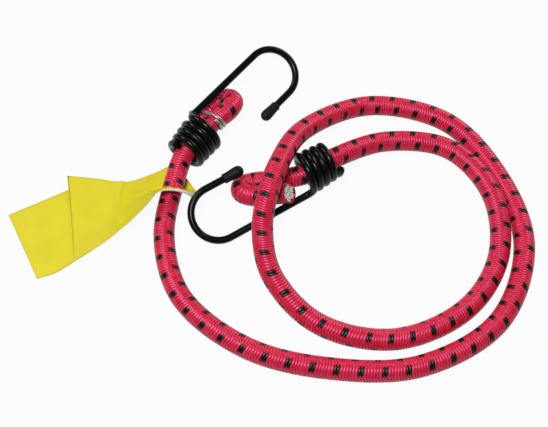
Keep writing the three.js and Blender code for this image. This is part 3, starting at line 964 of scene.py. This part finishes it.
# far edge, fold and near edge, in order from the free end
TAG_LEFT = [
    ((-123.8, -2.1, 0.25), (-115.1, -19.2, 0.25), (-106.5, -36.1, 0.25)),
    ((-110.4, 4.8, 0.25), (-104.3, -13.8, 0.35), (-98.3, -33.0, 0.25)),
    ((-97.1, 11.6, 0.3), (-93.9, -8.0, 0.3), (-90.7, -27.8, 0.3)),
]
TAG_TUCK = [
    ((-92.6, 13.9, 0.35), (-90.4, -6.4, 0.35), (-90.5, -27.6, 0.35)),
    ((-97.5, 19.1, 1.6), (-93.6, -3.7, 1.1), (-90.2, -27.3, 0.45)),
]
TAG_RIGHT = [
    TAG_TUCK[-1],
    ((-83.3, 17.8, 1.2), (-82.3, -2.0, 0.9), (-81.1, -21.8, 2.2)),
    ((-70.8, 16.2, 0.4), (-70.6, 5.8, 0.3), (-70.3, -15.5, 7.0)),
    ((-64.6, 17.4, 0.3), (-63.0, 8.0, 0.3), (-61.9, -10.4, 12.0)),
    ((-58.7, 19.9, 0.3), (-57.0, 10.6, 0.3), (-55.7, -5.0, 15.2)),
    ((-53.6, 22.3, 0.3), (-51.3, 12.3, 0.3), (-50.4, 1.1, 16.9)),
    ((-47.8, 25.2, 0.3), (-44.8, 12.6, 0.3), (-44.9, 2.2, 17.3)),
    ((-42.5, 23.4, 0.3), (-38.6, 12.0, 0.3), (-38.9, 2.0, 16.0)),
    ((-39.4, 18.4, 0.3), (-34.5, 11.2, 0.3), (-34.9, 2.2, 12.2)),
]
# the near edge is turned over where it passes the cord: its depth at each of the last stations
TAG_LIP = [0.3, 0.8, 1.3, 2.0]
TAG_LIP_FALL = (0.0, -0.55, -0.84)
# creases: two points on the tag, how high the fold stands and how wide it is
TAG_CREASES = [
    ((-70.7, 16.0), (-72.2, 8.5), 1.5, 1.3),
    ((-72.2, 8.5), (-71.0, -7.0), 1.5, 1.4),
    ((-71.0, -7.0), (-67.5, -12.5), 0.9, 1.3),
    ((-71.0, 5.0), (-58.0, 11.0), 1.0, 1.3),
    ((-109.0, -4.0), (-96.0, 1.5), 0.2, 2.0),
]


def tag_rows(stations, per_span, rows):
    """Points between the stations: smooth along the tag, straight from fold to edge."""
    far, fold, near = (catmull([s[k] for s in stations], per_span) for k in range(3))
    out = []
    for row in rows:
        out.append(fold + (far - fold) * -row if row < 0 else fold + (near - fold) * row)
    return np.stack(out, 1)


def tag_grid():
    rows = np.r_[np.linspace(-1, 0, 15)[:-1], np.linspace(0, 1, 21)]
    left = tag_rows(TAG_LEFT, 14, rows)
    tuck = tag_rows([TAG_LEFT[-1], TAG_TUCK[0]], 6, rows)
    back = tag_rows(TAG_TUCK, 8, rows)
    right = tag_rows(TAG_RIGHT, TAG_PER_SPAN, rows)
    return np.concatenate([left, tuck[1:], back[1:], right[1:]])


def creased(grid):
    """The grid with its creases and the slight waves of a handled sheet; its free end lies flatter."""
    grid = grid.copy()
    for start, end, height, width in TAG_CREASES:
        a, b = np.array(start), np.array(end)
        from_a = grid[..., :2] - a
        t = np.clip((from_a @ (b - a)) / ((b - a) @ (b - a)), 0.0, 1.0)
        off = np.linalg.norm(from_a - t[..., None] * (b - a), axis=-1)
        grid[..., 2] += height * np.exp(-off / width) * (off < 4 * width)
    x, y = grid[..., 0], grid[..., 1]
    wave = TAG_WAVE * (1.0 + np.sin(0.31 * x + 0.21 * y) * np.sin(0.27 * y + 1.0))
    first_right = len(grid) - TAG_PER_SPAN * (len(TAG_RIGHT) - 1)
    grid[..., 2] += np.where(np.arange(len(grid))[:, None] < first_right, TAG_FREE_END_WAVE, 1.0) * wave
    return grid


def lip_grid(edge):
    """The lip turned over along the last stretch of the near edge."""
    depth = catmull([(d, 0.0, 0.0) for d in TAG_LIP], TAG_PER_SPAN)[:, 0]
    edge = edge[-len(depth) :]
    fall = np.array(TAG_LIP_FALL)
    shares = np.linspace(0.0, 1.0, 5)
    return edge[:, None] + depth[:, None, None] * shares[None, :, None] * fall


def sheet_mesh(grid, hole, slots):
    """A sheet of TAG_THICKNESS over the grid, without the cells in the hole: vertices, faces, slots."""
    columns, rows = grid.shape[:2]
    normal = unit(np.cross(np.gradient(grid, axis=1), np.gradient(grid, axis=0)))
    sides = [grid + normal * TAG_THICKNESS / 2, grid - normal * TAG_THICKNESS / 2]
    vertices = np.concatenate([side.reshape(-1, 3) for side in sides])
    count = columns * rows
    share = (hole[:-1, :-1] + 0.0 + hole[1:, :-1] + hole[:-1, 1:] + hole[1:, 1:]) / 4
    present = np.pad(share < 0.5, 1)
    faces, face_slots = [], []
    for i, j in np.argwhere(present[1:-1, 1:-1]):
        a, b = int(i * rows + j), int(i * rows + j + 1)
        d, c = a + rows, b + rows
        faces += [(a, b, c, d), (a + count, d + count, c + count, b + count)]
        face_slots += slots
        for p, q, di, dj in ((d, a, 0, -1), (b, c, 0, 1), (a, b, -1, 0), (c, d, 1, 0)):
            if not present[i + 1 + di, j + 1 + dj]:
                faces.append((p, p + count, q + count, q))
                face_slots.append(1)
    return vertices, faces, face_slots


def tag_sheet():
    grid = creased(tag_grid())
    near_cord = cord_line[cord_s > TAG_CORD_FROM * cord_length][::TAG_CORD_EVERY]
    gaps = np.linalg.norm(grid[:, :, None] - near_cord[None, None], axis=-1)
    nearest = near_cord[gaps.argmin(-1)]
    distance = gaps.min(-1)
    touching = (distance < CORD_RADIUS + TAG_TOUCH_GAP) & (distance > TAG_PUSH_FROM)
    pushed = nearest + unit(grid - nearest) * (CORD_RADIUS + TAG_PUSH_GAP)
    grid = np.where(touching[..., None], pushed, grid)
    vertices, faces, slots = sheet_mesh(grid, distance < TAG_HOLE_RADIUS, [0, 1])
    lip = lip_grid(grid[:, -1])
    lip_vertices, lip_faces, lip_slots = sheet_mesh(lip, np.zeros(lip.shape[:2], bool), [1, 0])
    faces += [[q + len(vertices) for q in face] for face in lip_faces]
    vertices = np.concatenate([vertices, lip_vertices])
    return add_mesh("creased_tag", vertices, faces, [TAG_FACE, TAG_BACK], slots + lip_slots)


tag = tag_sheet()
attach(tag, "tag")
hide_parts("tag")

# Stage: the table is white where the camera sees it, directly or mirrored, and keeps a faint shadow

FLOOR_GLOW = 0.94


def floor_material():
    n = Nodes("white_table")
    paper = n.noise(n.place(), 900.0, 3.0)
    n.set(Base_Color=n.mix(n.ramp(paper, 0.3, 0.7), *FLOOR_GREYS))
    n.shader.inputs["Roughness"].default_value = 0.9
    n.shader.inputs["Specular IOR Level"].default_value = 0.1
    glow = n.node("ShaderNodeEmission")
    glow.inputs["Color"].default_value = (1.0, 1.0, 1.0, 1.0)
    glow.inputs["Strength"].default_value = 1.0
    path = n.node("ShaderNodeLightPath")
    mirrored = n.math("MAXIMUM", path.outputs["Is Glossy Ray"], path.outputs["Is Transmission Ray"])
    seen = n.math("MAXIMUM", path.outputs["Is Camera Ray"], mirrored)
    blend = n.node("ShaderNodeMixShader")
    n.put(n.math("MULTIPLY", seen, FLOOR_GLOW), blend.inputs[0])
    n.tree.links.new(n.shader.outputs[0], blend.inputs[1])
    n.tree.links.new(glow.outputs[0], blend.inputs[2])
    n.tree.links.new(blend.outputs[0], n.tree.nodes["Material Output"].inputs["Surface"])
    return n.material


FLOOR_HALF = 8000.0
FLOOR_DROP = 0.1
FLOOR_CORNERS = [(-1, -1), (1, -1), (1, 1), (-1, 1)]
floor_points = [(x * FLOOR_HALF, y * FLOOR_HALF, -FLOOR_DROP) for x, y in FLOOR_CORNERS]
floor = add_mesh("table", floor_points, [(0, 1, 2, 3)], [floor_material()], smooth=False)

WORLD_LEVEL = 0.08
world = bpy.data.worlds.new("studio")
world.use_nodes = True
background = world.node_tree.nodes["Background"]
background.inputs["Color"].default_value = (1.0, 1.0, 1.0, 1.0)
background.inputs["Strength"].default_value = WORLD_LEVEL
bpy.context.scene.world = world


def area_light(name, at, size, power):
    """A lamp that is aimed at the middle of the table, placed and sized in metres."""
    data = bpy.data.lights.new(name, "AREA")
    data.shape = "RECTANGLE"
    data.size, data.size_y = size
    data.energy = power
    lamp = bpy.data.objects.new(name, data)
    lamp.location = Vector(at)
    lamp.rotation_euler = (-Vector(at)).to_track_quat("-Z", "Y").to_euler()
    bpy.context.scene.collection.objects.link(lamp)


area_light("key", (-0.13, -0.28, 0.9), (0.24, 0.18), 6.9)
area_light("left", (-0.6, 0.45, 0.65), (0.3, 0.3), 2.9)
area_light("right", (0.62, 0.7, 0.38), (0.3, 0.3), 3.4)

bpy.context.scene.view_settings.view_transform = "Standard"
